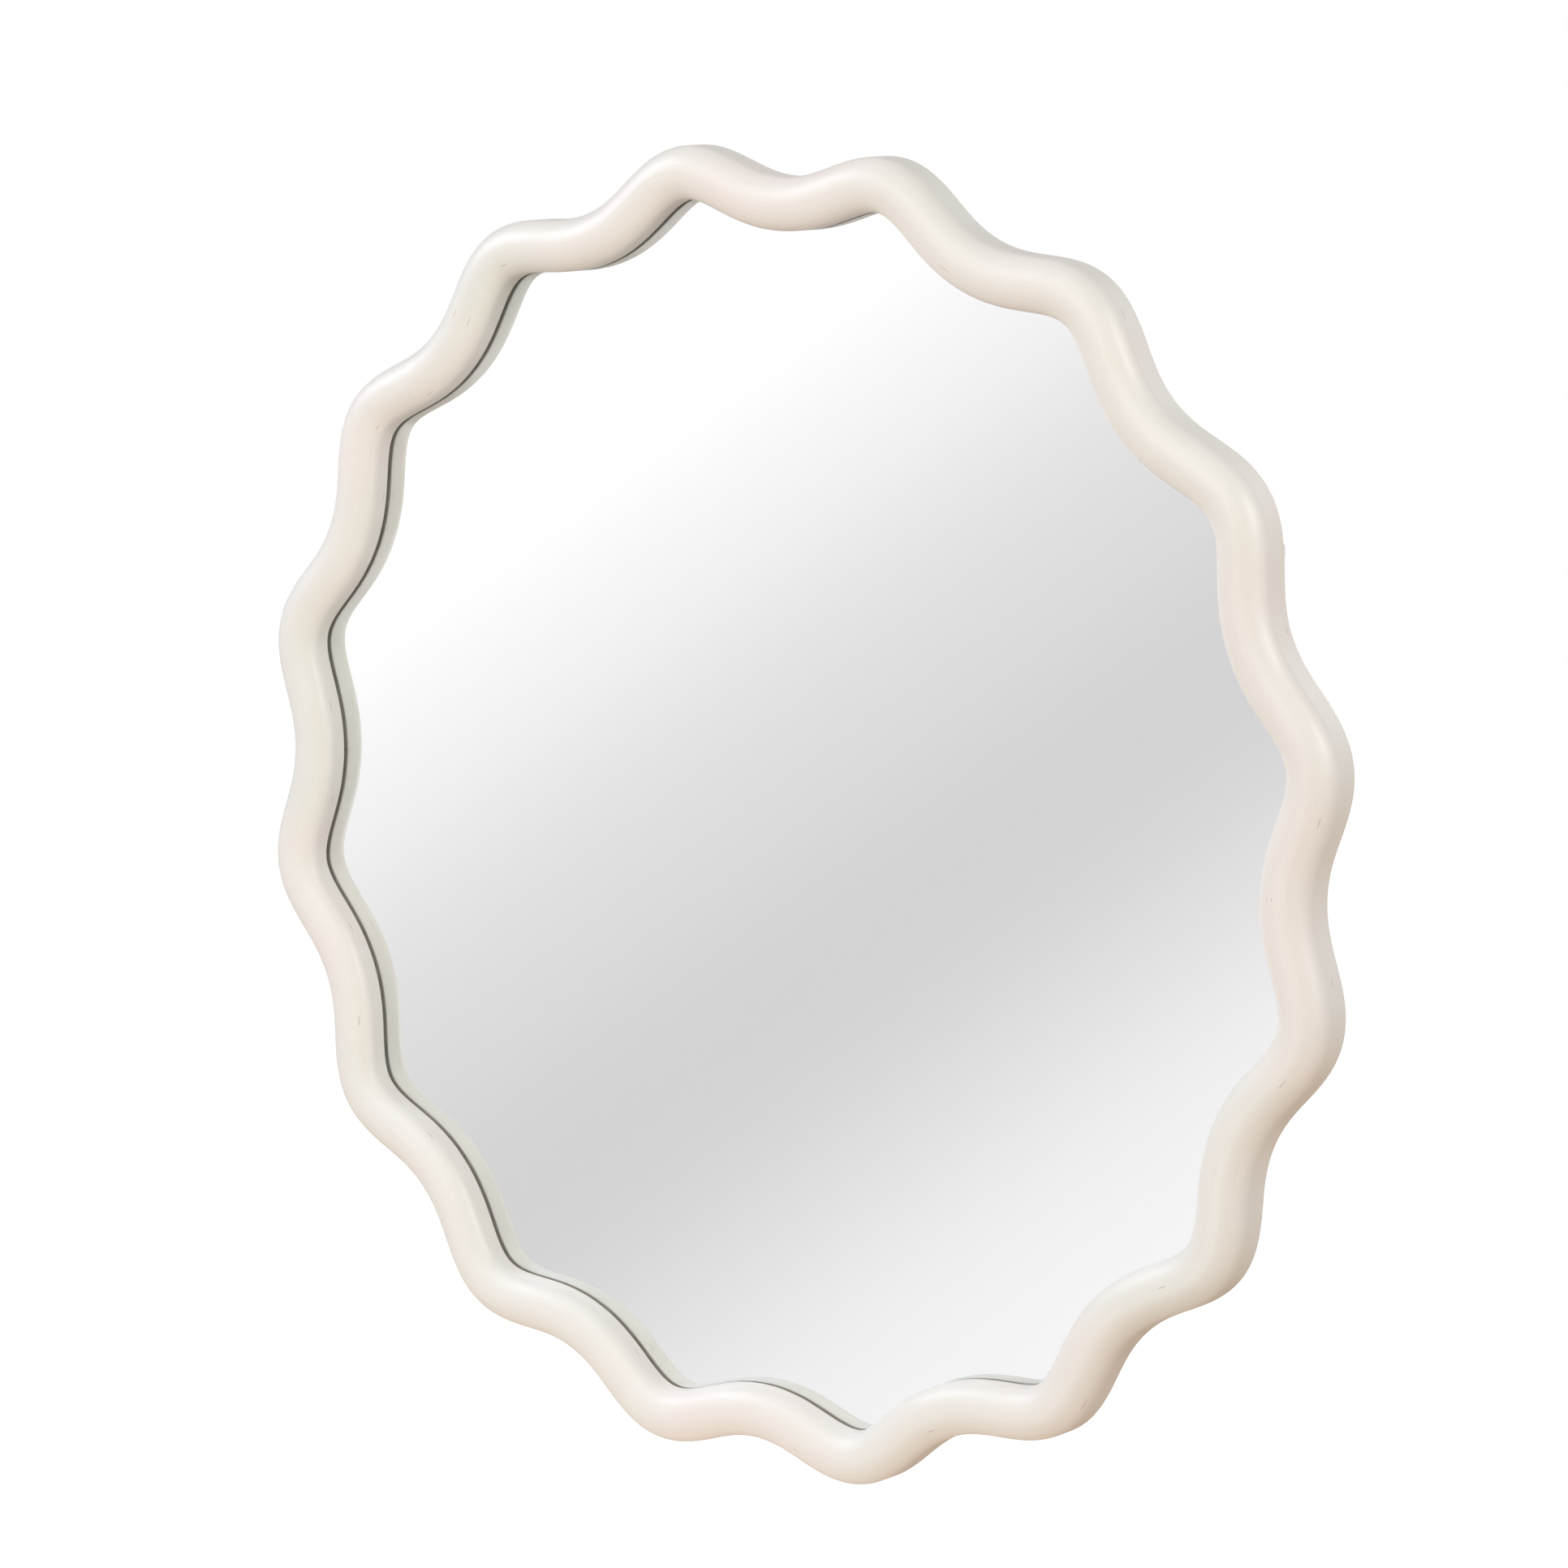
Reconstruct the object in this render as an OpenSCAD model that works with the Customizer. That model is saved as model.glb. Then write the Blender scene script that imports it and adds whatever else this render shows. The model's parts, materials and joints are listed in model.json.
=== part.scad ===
// Round wall mirror with a scalloped frame of half-round moulding.
// The wall is the plane Y = 0, the glass faces -Y, Z is up and the origin is the ring's centre.

/* [Moulding] */
// Mean radius of the ring, from its centre to the middle of the moulding
ring_r = 426; // [410:1:480]
// Height of the waves on each side of the mean radius
wave_h = 12.25; // [9:0.25:13]
// How far the crests are sharpened and the troughs flattened
wave_peak = 1; // [0:0.25:1.5]
// Width of the moulding, measured across it
frame_w = 35.9; // [34:0.1:40]
// Height of the moulding's crown above the face of the glass
crown_h = 23.8; // [20:0.1:30]
// Height of the round on the outer side
outer_round = 16.8; // [8:0.1:18]
// Height of the round on the inner side
inner_round = 13; // [8:0.1:18]
// Chamfer along the outer back edge
back_ease = 1.5; // [0.5:0.1:3]
// Width of the lip in front of the glass, from its edge to the rabbet's wall
lip_w = 9; // [7:0.1:11]

/* [Glass and backing] */
// Thickness of the glass
glass_t = 3.2; // [3:0.1:6]
// Thickness of the silvering with its paint
silver_t = 0.2; // [0.1:0.05:0.5]
// Thickness of the foam sheet behind the glass
foam_t = 2; // [1:0.1:4]
// Thickness of the backing board
board_t = 3; // [2.5:0.1:6]
// How far the board lies below the frame's back face
board_recess = 1.8; // [1.3:0.1:3]
// Gap between the lip and the face of the glass
seat_gap = 0.1; // [0.05:0.05:0.3]
// Gap between the edge of the glass and the rabbet's wall
edge_gap = 1; // [0.5:0.1:2]

/* [Dowels] */
// Diameter of the dowels that join the frame's segments
dowel_d = 8; // [6:0.5:8]
// Length of a dowel
dowel_l = 40; // [24:1:48]
// Wood left round a dowel
dowel_edge = 5; // [4:0.5:6]
// Radial gap for glue round a dowel
dowel_gap = 0.1; // [0.05:0.05:0.2]
// Depth left free at a dowel's end
dowel_room = 1; // [0.5:0.5:3]

/* [Screws] */
// Diameter of the screws' shank
screw_d = 3.5; // [3:0.1:4]
// Length of the screws below the head
screw_l = 16; // [10:1:20]
// Diameter of the screws' pan head
head_d = 7.5; // [6.5:0.1:8.5]
// Height of the pan head
head_h = 2.2; // [1.8:0.1:2.6]
// Length of each slot of the cross in the head
cross_l = 4.2; // [3:0.1:5]
// Width of the cross's slots
cross_w = 1.1; // [0.8:0.1:1.4]
// Depth of the cross
cross_h = 1.2; // [0.8:0.1:1.5]
// Length of the screws' point
tip_l = 5; // [3:0.5:7]
// Radial gap round a screw in the wood
pilot_gap = 0.05; // [0.02:0.01:0.1]
// Radial gap round a screw in a metal plate
plate_gap = 0.3; // [0.2:0.05:0.5]

/* [Hangers] */
// Angle of the hangers round the ring, from the horizontal
hanger_a = 27.6; // [27:0.1:28.5]
// How far the hangers lie inwards from the middle of the frame's back
hanger_in = 2; // [1:0.5:3]
// Width of the hanger's strap
strap_w = 14; // [12:0.5:15]
// Thickness of the strip that is folded double to make the strap
leaf_t = 1.2; // [0.8:0.1:1.5]
// Diameter of the ring's wire
wire_d = 3; // [2.5:0.1:3.5]
// Radial gap between the wire and the strap's eye
eye_gap = 0.08; // [0.03:0.01:0.1]
// Gap on each side between the strap and the ring's legs
loop_side = 2; // [1.5:0.1:3]
// Height inside the ring, above the middle of its bar
loop_h = 18; // [16:0.5:20]
// How far the ring's bar stands out on each side of the eye
bar_play = 0.5; // [0.3:0.1:0.8]
// Gap between the resting ring and the frame
rest_gap = 0.3; // [0.2:0.05:0.5]
// Gap between the lowered ring and the second screw
ring_room = 3; // [2:0.5:4]

/* [Clips] */
// Width of a retaining clip
clip_w = 14; // [10:1:16]
// Thickness of a retaining clip
clip_t = 1.2; // [0.8:0.1:1.5]
// How far a clip reaches over the board
clip_reach = 10; // [8:1:14]
// How far a clip reaches past the middle of its screw
clip_hold = 7; // [5:0.5:9]
// Gap between a clip's step and the rabbet's wall
clip_gap = 1; // [0.5:0.1:2]

/* [Wall pads] */
// Diameter of the pads that rest on the wall
pad_d = 16; // [12:0.5:20]
// Thickness of the wall pads, which is the gap between the frame and the wall
pad_t = 8; // [7.5:0.5:12]
// Chamfer round a pad's face on the wall
pad_ease = 1; // [0.5:0.1:1.5]
// Angle of the wall pads round the ring, from the horizontal
pad_a = 56.25; // [50:0.25:60]

/* [Hidden] */
$fn = 64;

// The ring is glued up from eight segments of two lobes each, with troughs at the joints
segments = 8;
lobes = 2 * segments;
segment_a = 360 / segments;
crest_a = 180 / lobes;
steps_per_lobe = 14;
round_steps = 6;

// Heights above the wall
back_h = pad_t;
board_h = back_h + board_recess;
foam_h = board_h + board_t;
silver_h = foam_h + foam_t;
glass_h = silver_h + silver_t;
lip_h = glass_h + glass_t + seat_gap;
crown_top = lip_h + crown_h;

// Distances across the moulding, outwards from its middle line
half_w = frame_w / 2;
rabbet_u = lip_w - half_w;
pane_u = rabbet_u - edge_gap;
band_u = (rabbet_u + half_w) / 2;

// Dowels: a lower outer one and a higher inner one at each joint
dowel_off = dowel_edge + dowel_d / 2;
dowel_spots = [[half_w - dowel_off, back_h + dowel_off], [dowel_off - half_w, lip_h + dowel_off]];

// Hanger: the eye's axis is the ring's hinge
wire_r = wire_d / 2;
strap_t = 2 * leaf_t;
eye_r = wire_r + eye_gap;
barrel_r = eye_r + leaf_t;
eye_h = back_h - barrel_r;
leg_x = strap_w / 2 + loop_side + wire_r;
bend_r = loop_side + wire_r - bar_play;
ring_top = loop_h + wire_r;
arc_y = ring_top - leg_x;
screw_y1 = -(barrel_r + loop_h) / 2;
screw_y2 = -(loop_h + wire_d + ring_room + head_d / 2);
lean_a = asin((barrel_r - wire_r - rest_gap) / ring_top);
hanger_mid = wave_point(hanger_a, band_u - hanger_in);
hanger_x = hanger_mid[0];
hanger_z = hanger_mid[1] - screw_y2 / 2;

// Clip: the step lies inside the rabbet's wall
clip_step = rabbet_u - clip_gap;

// How far a cut runs past the face that it opens
cut = 1;

// The wave: radius of the middle line, its slope, and a point at distance u outwards from it
function wave_r(a) = ring_r + wave_h * cos(lobes * (a - crest_a)) + wave_peak * cos(2 * lobes * (a - crest_a));
function wave_slope(a) =
  -lobes * (wave_h * sin(lobes * (a - crest_a)) + 2 * wave_peak * sin(2 * lobes * (a - crest_a)));
function wave_normal(a) =
  let (r = wave_r(a), s = wave_slope(a))
  [s * sin(a) + r * cos(a), r * sin(a) - s * cos(a)] / norm([r, s]);
function wave_point(a, u) = wave_r(a) * [cos(a), sin(a)] + u * wave_normal(a);

// Cross-section of the moulding: distance outwards from the middle line, and height above the wall
section = concat(
  [[half_w - back_ease, back_h], [half_w, back_h + back_ease]],
  [for (i = [0:round_steps])
    let (t = 90 * i / round_steps)
    [half_w * cos(t), crown_top - outer_round * (1 - sin(t))]],
  [for (i = [1:round_steps])
    let (t = 90 * i / round_steps)
    [-half_w * sin(t), crown_top - inner_round * (1 - cos(t))]],
  [[-half_w, lip_h], [rabbet_u, lip_h], [rabbet_u, back_h]]
);

// Plan coordinates and height above the wall, turned to stand on the wall
module on_wall() rotate([90, 0, 0]) children();

// The moulding's section carried along the wave from one angle to another
module moulding(a0, a1) {
  m = len(section);
  n = round((a1 - a0) / 360 * lobes * steps_per_lobe);
  points = [
    for (i = [0:n])
      let (a = a0 + (a1 - a0) * i / n)
      for (p = section)
        let (q = wave_point(a, p[0]))
        [q[0], q[1], p[1]]
  ];
  sides = [
    for (i = [0:n - 1])
      for (j = [0:m - 1])
        let (k = (j + 1) % m)
        for (f = [[i * m + j, i * m + k, (i + 1) * m + k], [i * m + j, (i + 1) * m + k, (i + 1) * m + j]])
          f
  ];
  first = [for (j = [0:m - 1]) m - 1 - j];
  last = [for (j = [0:m - 1]) n * m + j];
  polyhedron(points, concat(sides, [first, last]));
}

// A flat sheet with the scalloped outline at distance u from the middle line
module sheet(u, thickness) {
  n = lobes * steps_per_lobe;
  linear_extrude(thickness)
    polygon([for (i = [0:n - 1]) wave_point(360 * i / n, u)]);
}

// Places children at an angle of the ring and a distance u, with +X pointing out along the wave's normal
module at_wave(a, u) {
  p = wave_point(a, u);
  d = wave_normal(a);
  translate([p[0], p[1], 0])
    rotate([0, 0, atan2(d[1], d[0])])
      children();
}

// Dowels lie square to the joint's face
module dowel_bar(a, spot, r, l)
  at_wave(a, spot[0])
    translate([0, 0, spot[1]])
      rotate([90, 0, 0])
        cylinder(h = l, r = r, center = true);

// Places children at the right (1) or left (-1) hanger, with the origin on the eye's axis
module at_hanger(side)
  translate([side * hanger_x, hanger_z, 0])
    children();

// Hole in the frame for a screw whose head is seated at the height given
module pilot_hole(seat_h)
  translate([0, 0, back_h - cut])
    cylinder(h = seat_h + screw_l - back_h + cut, r = screw_d / 2 + pilot_gap);

// Hole for a screw through a metal plate of the thickness given
module plate_hole(thickness)
  translate([0, 0, -cut])
    cylinder(h = thickness + 2 * cut, r = screw_d / 2 + plate_gap);

// Pan-head wood screw pointing away from the wall, its head seated at the height given
module wood_screw(seat_h) {
  dome = [
    for (i = [0:round_steps])
      let (t = 90 * i / round_steps)
      [head_d / 2 * cos(t), seat_h - head_h / 2 - head_h / 2 * sin(t)]
  ];
  difference() {
    rotate_extrude()
      polygon(concat(
        [[0, seat_h + screw_l], [screw_d / 2, seat_h + screw_l - tip_l], [screw_d / 2, seat_h]],
        [[head_d / 2, seat_h]],
        dome
      ));
    for (turn = [0, 90])
      rotate([0, 0, turn])
        translate([-cross_l / 2, -cross_w / 2, seat_h - head_h - cut])
          cube([cross_l, cross_w, cross_h + cut]);
  }
}

module frame_segment(i) {
  a0 = i * segment_a;
  a1 = a0 + segment_a;
  right_hanger = i == 0;
  left_hanger = i == segments / 2 - 1;
  color("#efe8df")
    on_wall()
      difference() {
        moulding(a0, a1);
        for (a = [a0, a1])
          for (spot = dowel_spots)
            dowel_bar(a, spot, dowel_d / 2 + dowel_gap, dowel_l + 2 * dowel_room);
        at_wave((a0 + a1) / 2, band_u)
          pilot_hole(back_h - clip_t);
        if (right_hanger || left_hanger)
          at_hanger(right_hanger ? 1 : -1)
            for (y = [screw_y1, screw_y2])
              translate([0, y, 0])
                pilot_hole(back_h - strap_t);
      }
}

module frame_dowels()
  color("#d9b98a")
    on_wall()
      for (i = [0:segments - 1])
        for (spot = dowel_spots)
          dowel_bar(i * segment_a, spot, dowel_d / 2, dowel_l);

module mirror_glass()
  color("#c9dcd6", 0.4)
    on_wall()
      translate([0, 0, glass_h])
        sheet(pane_u, glass_t);

module silver_coat()
  color("#c4c8cb")
    on_wall()
      translate([0, 0, silver_h])
        sheet(pane_u, silver_t);

module foam_sheet()
  color("#f4f4f2")
    on_wall()
      translate([0, 0, foam_h])
        sheet(pane_u, foam_t);

module backing_board()
  color("#8a6a4a")
    on_wall()
      translate([0, 0, board_h])
        sheet(pane_u, board_t);

// Offset clip: one leg on the frame's back, a step, and one leg on the board
module retainer_clip(i) {
  outline = [
    [clip_step - clip_reach, board_h],
    [clip_step, board_h],
    [clip_step, back_h],
    [band_u + clip_hold, back_h],
    [band_u + clip_hold, back_h - clip_t],
    [clip_step - clip_t, back_h - clip_t],
    [clip_step - clip_t, board_h - clip_t],
    [clip_step - clip_reach, board_h - clip_t]
  ];
  color("#b9bcc0")
    on_wall()
      at_wave((i + 0.5) * segment_a, 0)
        difference() {
          translate([0, clip_w / 2, 0])
            rotate([90, 0, 0])
              linear_extrude(clip_w)
                polygon(outline);
          translate([band_u, 0, back_h - clip_t])
            plate_hole(clip_t);
        }
}

module clip_screws()
  color("#d0c9a8")
    on_wall()
      for (i = [0:segments - 1])
        at_wave((i + 0.5) * segment_a, band_u)
          wood_screw(back_h - clip_t);

// Strip folded double round the ring's bar: a two-leaf plate below and an eye at its upper end
module hanger_strap(side)
  color("#b9bcc0")
    on_wall()
      at_hanger(side)
        difference() {
          union() {
            translate([-strap_w / 2, screw_y2, back_h - strap_t])
              cube([strap_w, -screw_y2, strap_t]);
            translate([0, screw_y2, back_h - strap_t])
              cylinder(h = strap_t, r = strap_w / 2);
            translate([-strap_w / 2, 0, eye_h])
              rotate([0, 90, 0])
                cylinder(h = strap_w, r = barrel_r);
          }
          translate([-strap_w / 2 - cut, 0, eye_h])
            rotate([0, 90, 0])
              cylinder(h = strap_w + 2 * cut, r = eye_r);
          for (y = [screw_y1, screw_y2])
            translate([0, y, back_h - strap_t])
              plate_hole(strap_t);
        }

// D-shaped wire ring, standing up and leaning on the frame's back
module hanger_ring(side)
  color("#b9bcc0")
    on_wall()
      at_hanger(side)
        translate([0, 0, eye_h])
          rotate([lean_a, 0, 0]) {
            rotate([0, 90, 0])
              cylinder(h = 2 * (leg_x - bend_r), r = wire_r, center = true);
            for (s = [0, 1])
              mirror([s, 0, 0]) {
                translate([leg_x - bend_r, bend_r, 0])
                  rotate([0, 0, -90])
                    rotate_extrude(angle = 90)
                      translate([bend_r, 0])
                        circle(r = wire_r);
                translate([leg_x, bend_r, 0])
                  rotate([-90, 0, 0])
                    cylinder(h = arc_y - bend_r, r = wire_r);
              }
            translate([0, arc_y, 0])
              rotate_extrude(angle = 180)
                translate([leg_x, 0])
                  circle(r = wire_r);
          }

module hanger_screws()
  color("#d0c9a8")
    on_wall()
      for (side = [-1, 1])
        at_hanger(side)
          for (y = [screw_y1, screw_y2])
            translate([0, y, 0])
              wood_screw(back_h - strap_t);

module wall_pad(a)
  color("#4a4a4a")
    on_wall()
      at_wave(a, band_u) {
        cylinder(h = pad_ease, r1 = pad_d / 2 - pad_ease, r2 = pad_d / 2);
        translate([0, 0, pad_ease])
          cylinder(h = pad_t - pad_ease, r = pad_d / 2);
      }

frame_segment(0);  // frame_segment_1
frame_segment(1);  // frame_segment_2
frame_segment(2);  // frame_segment_3
frame_segment(3);  // frame_segment_4
frame_segment(4);  // frame_segment_5
frame_segment(5);  // frame_segment_6
frame_segment(6);  // frame_segment_7
frame_segment(7);  // frame_segment_8
frame_dowels();
mirror_glass();
silver_coat();
foam_sheet();
backing_board();
retainer_clip(0);  // retainer_clip_1
retainer_clip(1);  // retainer_clip_2
retainer_clip(2);  // retainer_clip_3
retainer_clip(3);  // retainer_clip_4
retainer_clip(4);  // retainer_clip_5
retainer_clip(5);  // retainer_clip_6
retainer_clip(6);  // retainer_clip_7
retainer_clip(7);  // retainer_clip_8
clip_screws();
hanger_strap(-1);  // hanger_strap_left
hanger_strap(1);  // hanger_strap_right
hanger_ring(-1);  // hanger_ring_left
hanger_ring(1);  // hanger_ring_right
hanger_screws();
wall_pad(180 - pad_a);  // wall_pad_top_left
wall_pad(pad_a);  // wall_pad_top_right
wall_pad(180 + pad_a);  // wall_pad_bottom_left
wall_pad(-pad_a);  // wall_pad_bottom_right
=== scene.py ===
# Round wall mirror in a cream lacquered wavy moulding, seen from its front right and a little above
import json
import math
import bmesh
import bpy
import numpy as np
from mathutils import Matrix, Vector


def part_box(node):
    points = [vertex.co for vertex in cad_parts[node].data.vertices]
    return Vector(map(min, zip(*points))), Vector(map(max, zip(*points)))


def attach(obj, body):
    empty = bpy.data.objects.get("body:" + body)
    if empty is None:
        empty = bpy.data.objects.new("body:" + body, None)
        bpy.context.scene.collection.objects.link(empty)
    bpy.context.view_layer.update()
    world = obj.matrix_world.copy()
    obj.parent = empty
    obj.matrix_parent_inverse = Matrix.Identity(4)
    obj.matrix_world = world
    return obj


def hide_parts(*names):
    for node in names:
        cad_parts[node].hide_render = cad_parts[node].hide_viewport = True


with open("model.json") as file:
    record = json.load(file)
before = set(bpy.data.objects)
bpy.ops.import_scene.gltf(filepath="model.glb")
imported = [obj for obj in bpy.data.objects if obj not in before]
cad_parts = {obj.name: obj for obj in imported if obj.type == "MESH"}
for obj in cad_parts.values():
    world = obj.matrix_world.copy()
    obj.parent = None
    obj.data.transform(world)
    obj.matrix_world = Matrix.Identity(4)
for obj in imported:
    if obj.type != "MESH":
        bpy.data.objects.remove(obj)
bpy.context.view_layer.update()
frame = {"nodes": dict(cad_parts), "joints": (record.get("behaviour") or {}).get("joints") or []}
print("stage: frame loaded")

mm = 0.001


def heightsOf(node):
    # Least and greatest distance of a node from the wall, which is the plane y = 0
    low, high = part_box(node)
    return -high.y, -low.y


backH, crownH = heightsOf("frame_segment_1")
glassBackH, glassFaceH = heightsOf("mirror_glass")
silverBackH = heightsOf("silver_coat")[0]
boardH = heightsOf("backing_board")[0]


# Meshes

def gridPiece(name, patches, material, closeRows=False, closeCols=True, rowUv=None, colUv=None, sharpDeg=40):
    # Points on a patch, row, column grid: every cell between neighbours is one face, and poles are merged.
    # rowUv and colUv give the distances in metres along the rows and columns, with the closing one last.
    patches = np.asarray(patches, float)
    if patches.ndim == 3:
        patches = patches[None]
    count, rows, cols = patches.shape[:3]
    r = np.arange(rows if closeRows else rows - 1)
    c = np.arange(cols if closeCols else cols - 1)
    r, c = (g.ravel() for g in np.meshgrid(r, c, indexing="ij"))
    corners = [(r, c), (r, c + 1), (r + 1, c + 1), (r + 1, c)]
    quads = np.stack([(i % rows) * cols + j % cols for i, j in corners], -1)
    quads = (quads[None] + (np.arange(count) * rows * cols)[:, None, None]).reshape(-1, 4)
    mesh = bpy.data.meshes.new(name)
    mesh.vertices.add(count * rows * cols)
    mesh.vertices.foreach_set("co", patches.ravel())
    mesh.loops.add(quads.size)
    mesh.loops.foreach_set("vertex_index", quads.ravel())
    mesh.polygons.add(len(quads))
    mesh.polygons.foreach_set("loop_start", np.arange(len(quads)) * 4)
    mesh.polygons.foreach_set("use_smooth", np.ones(len(quads), bool))
    mesh.update(calc_edges=True)
    if rowUv is not None:
        layer = mesh.uv_layers.new(name="surface")
        uv = np.stack([np.stack([rowUv[i], colUv[j]], -1) for i, j in corners], 1)
        layer.data.foreach_set("uv", np.tile(uv.reshape(-1), count))
    shell = bmesh.new()
    shell.from_mesh(mesh)
    bmesh.ops.remove_doubles(shell, verts=shell.verts, dist=1e-7)
    bmesh.ops.recalc_face_normals(shell, faces=shell.faces)
    shell.to_mesh(mesh)
    shell.free()
    mesh.set_sharp_from_angle(angle=math.radians(sharpDeg))
    mesh.materials.append(material)
    piece = bpy.data.objects.new(name, mesh)
    bpy.context.scene.collection.objects.link(piece)
    return piece


def arc(centre, radii, fromDeg, toDeg, steps):
    # Points of an elliptical arc: centre + (radius cos t, radius sin t)
    t = np.radians(np.linspace(fromDeg, toDeg, steps + 1))
    return np.stack([centre[0] + radii[0] * np.cos(t), centre[1] + radii[1] * np.sin(t)], -1)


def lengthsAlong(points, closed=False):
    # Distance from the first point to each point of a path, and to the first again where it is closed
    path = np.concatenate([points, points[:1]]) if closed else points
    return np.concatenate([[0], np.cumsum(np.linalg.norm(np.diff(path, axis=0), axis=-1))])


# The wave that the moulding, the clips and the pads follow

wave = {
    "ringRadius": 426 * mm,    # from the centre to the middle of the moulding
    "height": 12.25 * mm,      # of the waves, on each side of the ring
    "crestSharpness": 1 * mm,
    "lobes": 16,
    "segments": 8,
}


def waveAt(angle):
    # Middle line r(a) = R + H cos n(a - c) + P cos 2n(a - c), where c is the first crest's angle,
    # as points (x, z) with the unit normal that points outwards
    n = wave["lobes"]
    phase = n * (angle - math.pi / n)
    radius = wave["ringRadius"] + wave["height"] * np.cos(phase) + wave["crestSharpness"] * np.cos(2 * phase)
    slope = -n * (wave["height"] * np.sin(phase) + 2 * wave["crestSharpness"] * np.sin(2 * phase))
    point = np.stack([radius * np.cos(angle), radius * np.sin(angle)], -1)
    normal = np.stack([slope * np.sin(angle) + radius * np.cos(angle),
                       radius * np.sin(angle) - slope * np.cos(angle)], -1)
    return point, normal / np.hypot(radius, slope)[..., None]


def onWall(plan, height):
    # Plan points (x, z) at heights above the wall, as points of the part's own frame
    height = np.broadcast_to(height, plan.shape[:-1])
    return np.stack([plan[..., 0], -height, plan[..., 1]], -1)


def atWave(points, angle):
    # Local points (outwards, along the wave, height above the wall) at one angle of the ring
    point, out = waveAt(np.array(angle))
    along = np.array([-out[1], out[0]])
    return onWall(point + points[..., 0:1] * out + points[..., 1:2] * along, points[..., 2])


# Materials

def linear(colour):
    # An sRGB hex colour such as "#EFE8DF" as linear red, green, blue and alpha
    parts = [int(colour[i : i + 2], 16) / 255 for i in (1, 3, 5)]
    return [v / 12.92 if v <= 0.04045 else ((v + 0.055) / 1.055) ** 2.4 for v in parts] + [1]


def addNode(material, kind, settings=None, **links):
    # A shader node with its properties, input values (hex text is a colour) and links from other outputs.
    # A link's name is the input's, with underscores for spaces, or _ and a number for the input's place.
    made = material.node_tree.nodes.new("ShaderNode" + kind)
    for name, value in (settings or {}).items():
        if name == "stops":
            ramp = made.color_ramp
            while len(ramp.elements) < len(value):
                ramp.elements.new(0.5)
            for element, (place, colour) in zip(ramp.elements, value):
                element.position = place
                element.color = linear(colour) if isinstance(colour, str) else (colour, colour, colour, 1)
        elif name == "blend":
            made.color_ramp.interpolation = value
        elif hasattr(made, str(name)):
            setattr(made, name, value)
        else:
            made.inputs[name].default_value = linear(value) if isinstance(value, str) else value
    for name, source in links.items():
        socket = made.inputs[int(name[1:])] if name[1:].isdigit() else made.inputs[name.replace("_", " ")]
        material.node_tree.links.new(source, socket)
    return made


def newMaterial(name):
    material = bpy.data.materials.new(name)
    material.use_nodes = True
    material.node_tree.nodes.clear()
    return material


def finishMaterial(material, shader):
    addNode(material, "OutputMaterial", Surface=shader.outputs[0])
    return material


lacquer = {
    "cream": "#F1EEE5",
    "pinkish": "#F4ECE4",
    "greenish": "#ECECE2",
    "streakColour": "#EEE5DB",
    "markColour": "#B5A08C",
    "driftSize": 95 * mm,       # how far apart the colour drifts
    "driftPlace": (48, 0, 0),   # which part of the noise the drift is taken from, placed so that the drift also paints warmer and cooler shade
    "driftCut": (0.35, 0.65),   # noise from the first value to the second becomes 0 to 1, here and below
    "tintSize": 161.5 * mm,     # how far apart pinkish and greenish places lie
    "tintCut": (0.4, 0.6),
    "streakSize": (70 * mm, 1.1 * mm),
    "streakCut": (0.5, 0.95),
    "markCell": (60 * mm, 3 * mm),
    "markSize": 0.075,          # half its length and height, as a share of the cell
    "markShare": 0.03,          # of the cells have one
    "peelSize": 3.2 * mm,       # orange peel of a sprayed coat
    "peelHeight": 0.008 * mm,
    "sandingSize": 40 * mm,     # shallow hollows left by hand sanding
    "sandingHeight": 0.12 * mm,
    "roughness": 0.47,
    "topCoat": 0.1,
    "topCoatRoughness": 0.22,
}


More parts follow.
